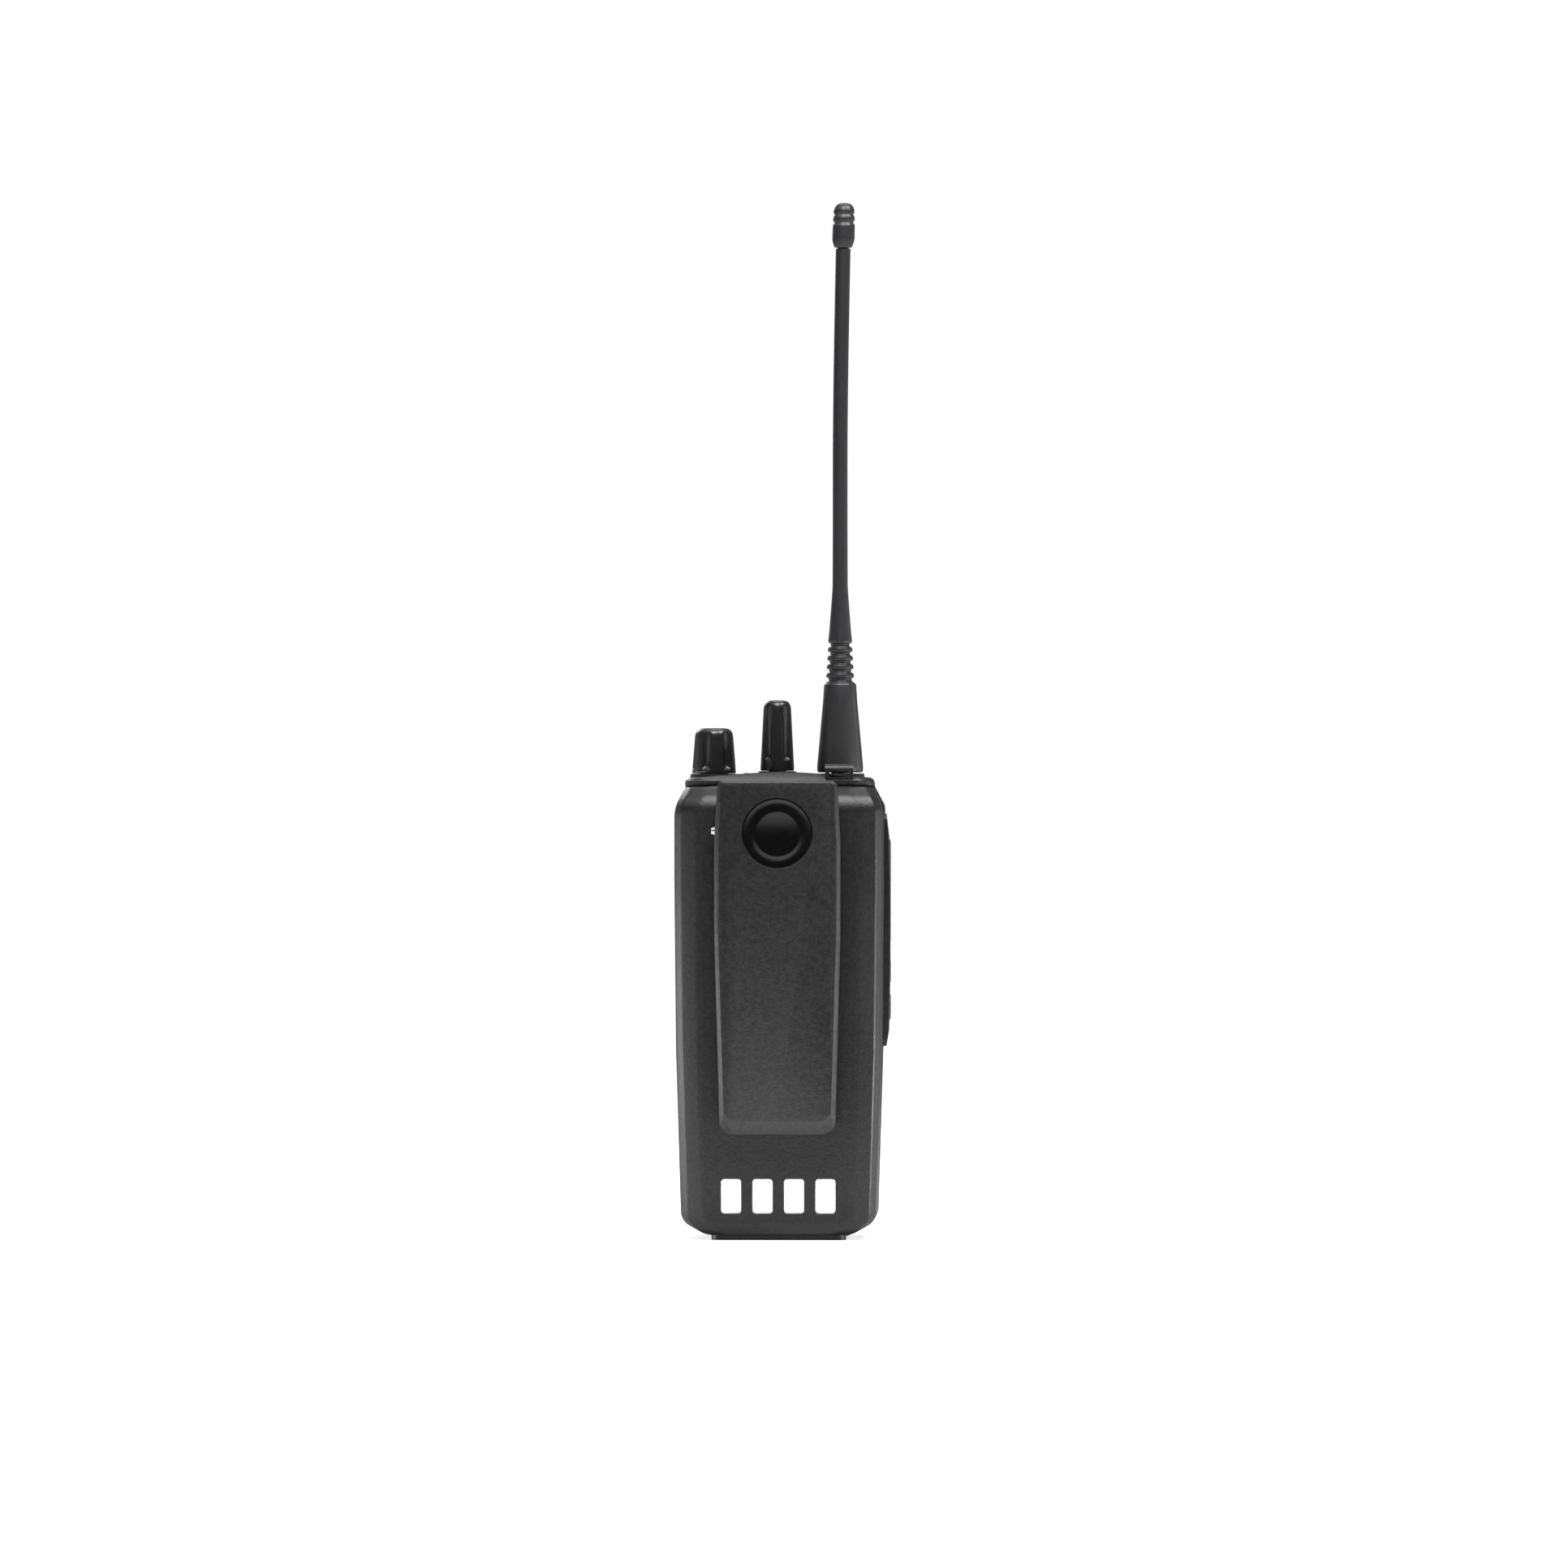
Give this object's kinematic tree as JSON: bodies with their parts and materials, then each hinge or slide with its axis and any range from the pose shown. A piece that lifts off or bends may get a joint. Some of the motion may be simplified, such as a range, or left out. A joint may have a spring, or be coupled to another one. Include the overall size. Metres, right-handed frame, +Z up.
{
  "type": "portable two-way radio",
  "caption": "Handheld two-way radio with whip antenna, two top knobs, side push-to-talk keys, slide-on battery with charging contacts and a sprung belt clip.",
  "frame": {"origin": "on the base plane, mid-width of the casing, 1 mm in front of the plane where casing and battery meet", "axes": "+Z up towards the antenna tip, -Y towards the speaker front, +Y towards the belt clip, -X towards the push-to-talk key"},
  "size_m": [0.0565, 0.0453, 0.2713],
  "materials": {
    "housing_plastic": "fine spark-eroded black",
    "inner_plastic": "moulded black",
    "gloss_plastic": "polished black",
    "knob_plastic": "satin black, fluted",
    "antenna_rubber": "moulded black elastomer",
    "button_rubber": "soft matt black",
    "seal_rubber": "moulded black",
    "speaker_fabric": "black acoustic cloth",
    "die_cast": "as cast",
    "steel": "plated",
    "brass": "turned",
    "contact_metal": "bright nickel plate",
    "circuit_board": "solder mask",
    "cell_wrap": "shrink sleeve",
    "clear_lens": "clear moulding"
  },
  "bodies": {
    "radio": {"accessory_socket": "inner_plastic", "antenna": "antenna_rubber", "antenna_cap": "antenna_rubber", "antenna_socket": "brass", "antenna_stud": "contact_metal", "channel_nut": "brass", "channel_switch": "steel", "chassis": "die_cast", "chassis_screw_left": "steel", "chassis_screw_right": "steel", "front_housing": "housing_plastic", "housing_seal": "seal_rubber", "main_board": "circuit_board", "microphone": "steel", "microphone_boot": "seal_rubber", "ptt_button_switch": "steel", "radio_terminal_1": "brass", "radio_terminal_2": "brass", "radio_terminal_3": "brass", "rf_shield": "steel", "side_bezel": "housing_plastic", "side_button_lower_switch": "steel", "side_button_upper_switch": "steel", "side_key_board": "circuit_board", "speaker": "inner_plastic", "speaker_bracket": "steel", "speaker_cloth": "speaker_fabric", "status_lens": "clear_lens", "terminal_block": "inner_plastic", "volume_nut": "brass", "volume_potentiometer": "steel"},
    "volume_control": {"volume_knob": "knob_plastic", "volume_shaft": "steel"},
    "channel_control": {"channel_knob": "knob_plastic", "channel_shaft": "steel"},
    "ptt": {"ptt_button": "button_rubber"},
    "upper_key": {"side_button_upper": "button_rubber"},
    "lower_key": {"side_button_lower": "button_rubber"},
    "cover_flap": {"dust_cover": "button_rubber"},
    "latch": {"battery_latch": "housing_plastic"},
    "battery_pack": {"battery_shell": "housing_plastic", "battery_cover": "housing_plastic", "battery_cell_left": "cell_wrap", "battery_cell_right": "cell_wrap", "battery_board": "circuit_board", "charge_contact_1": "contact_metal", "charge_contact_2": "contact_metal", "charge_contact_3": "contact_metal", "charge_contact_4": "contact_metal", "battery_terminal_1": "brass", "battery_terminal_2": "brass", "battery_terminal_3": "brass", "clip_bracket": "housing_plastic", "clip_pin": "steel", "clip_spring": "steel"},
    "belt_clip": {"clip_lever": "housing_plastic", "clip_badge": "gloss_plastic"}
  },
  "joints": [
    {"name": "volume_turn", "type": "hinge", "parent": "radio", "child": "volume_control", "pos_m": [0.0175, -0.0078, 0.122], "axis": [0, 0, -1], "range_deg": [0, 270]},
    {"name": "channel_turn", "type": "hinge", "parent": "radio", "child": "channel_control", "pos_m": [0.0009, -0.0078, 0.122], "axis": [0, 0, -1], "range_deg": [0, 337.5]},
    {"name": "ptt_press", "type": "slide", "parent": "radio", "child": "ptt", "axis": [1, 0, 0], "range_m": [0, 0.001], "stiffness_N_per_m": 2500, "springref_m": -0.0008},
    {"name": "upper_key_press", "type": "slide", "parent": "radio", "child": "upper_key", "axis": [1, 0, 0], "range_m": [0, 0.0007], "stiffness_N_per_m": 2500, "springref_m": -0.0005},
    {"name": "lower_key_press", "type": "slide", "parent": "radio", "child": "lower_key", "axis": [1, 0, 0], "range_m": [0, 0.0007], "stiffness_N_per_m": 2500, "springref_m": -0.0005},
    {"name": "cover_swing", "type": "hinge", "parent": "radio", "child": "cover_flap", "pos_m": [0.0276, -0.008, 0.0723], "axis": [0, 1, 0], "range_deg": [0, 110], "stiffness_Nm_per_rad": 0.002, "springref_deg": -11.46},
    {"name": "latch_slide", "type": "slide", "parent": "radio", "child": "latch", "axis": [0, -1, 0], "range_m": [-0.0015, 0]},
    {"name": "battery_slide", "type": "slide", "parent": "radio", "child": "battery_pack", "axis": [0, 0, -1], "range_m": [0, 0.012]},
    {"name": "clip_swing", "type": "hinge", "parent": "battery_pack", "child": "belt_clip", "pos_m": [0, 0.0218, 0.1067], "axis": [1, 0, 0], "range_deg": [0, 15], "stiffness_Nm_per_rad": 0.8, "springref_deg": -17.19}
  ]
}
